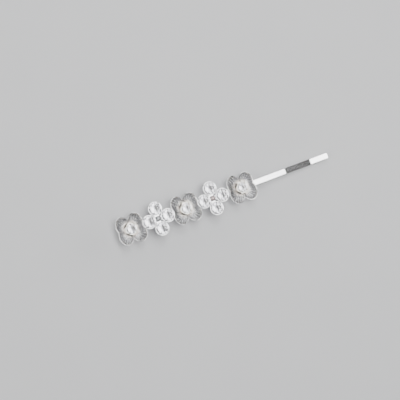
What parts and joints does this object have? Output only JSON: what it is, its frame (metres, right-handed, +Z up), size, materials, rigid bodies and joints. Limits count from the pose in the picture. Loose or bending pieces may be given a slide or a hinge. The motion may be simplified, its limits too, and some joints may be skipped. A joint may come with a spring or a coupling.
{
  "type": "hair grip",
  "caption": "Folded spring-steel hair grip with a row of cast petal flowers and claw-set stone flowers along its upper leg.",
  "frame": {"origin": "under the middle of the whole piece, on the underside of the lower leg that it rests on", "axes": "+X along the grip from its fold to its tip, +Y across it, +Z up out of the flowers"},
  "size_m": [0.0682, 0.0102, 0.0051],
  "materials": {
    "spring_strip": "bright nickel plating on rolled spring steel",
    "cast_petal": "polished rhodium-coloured plating on a cast alloy",
    "plated_cup": "polished rhodium-coloured plating on pressed brass",
    "solder": "dull grey soft solder",
    "crystal": "clear faceted glass with a silver foil back"
  },
  "bodies": {
    "lower_leg": {"lower_leg": "spring_strip", "spring_fold": "spring_strip"},
    "decorated_leg": {"upper_leg": "spring_strip", "flower_1_solder": "solder", "flower_2_solder": "solder", "flower_3_solder": "solder", "flower_4_solder": "solder", "flower_5_solder": "solder", "flower_1_petals": "cast_petal", "flower_1_cup": "plated_cup", "flower_1_stone": "crystal", "flower_3_petals": "cast_petal", "flower_3_cup": "plated_cup", "flower_3_stone": "crystal", "flower_5_petals": "cast_petal", "flower_5_cup": "plated_cup", "flower_5_stone": "crystal", "flower_2_backplate": "plated_cup", "flower_2_bead": "cast_petal", "flower_2_cup_fold_side": "plated_cup", "flower_2_stone_fold_side": "crystal", "flower_2_cup_tip_side": "plated_cup", "flower_2_stone_tip_side": "crystal", "flower_2_cup_left": "plated_cup", "flower_2_stone_left": "crystal", "flower_2_cup_right": "plated_cup", "flower_2_stone_right": "crystal", "flower_4_backplate": "plated_cup", "flower_4_bead": "cast_petal", "flower_4_cup_fold_side": "plated_cup", "flower_4_stone_fold_side": "crystal", "flower_4_cup_tip_side": "plated_cup", "flower_4_stone_tip_side": "crystal", "flower_4_cup_left": "plated_cup", "flower_4_stone_left": "crystal", "flower_4_cup_right": "plated_cup", "flower_4_stone_right": "crystal"}
  },
  "joints": [
    {"name": "leg_spring", "type": "hinge", "parent": "lower_leg", "child": "decorated_leg", "pos_m": [-0.03084, 0, 0.0011], "axis": [0, -1, 0], "range_deg": [0, 12], "stiffness_Nm_per_rad": 0.07, "springref_deg": -4.58, "deforming": ["spring_fold"]}
  ]
}
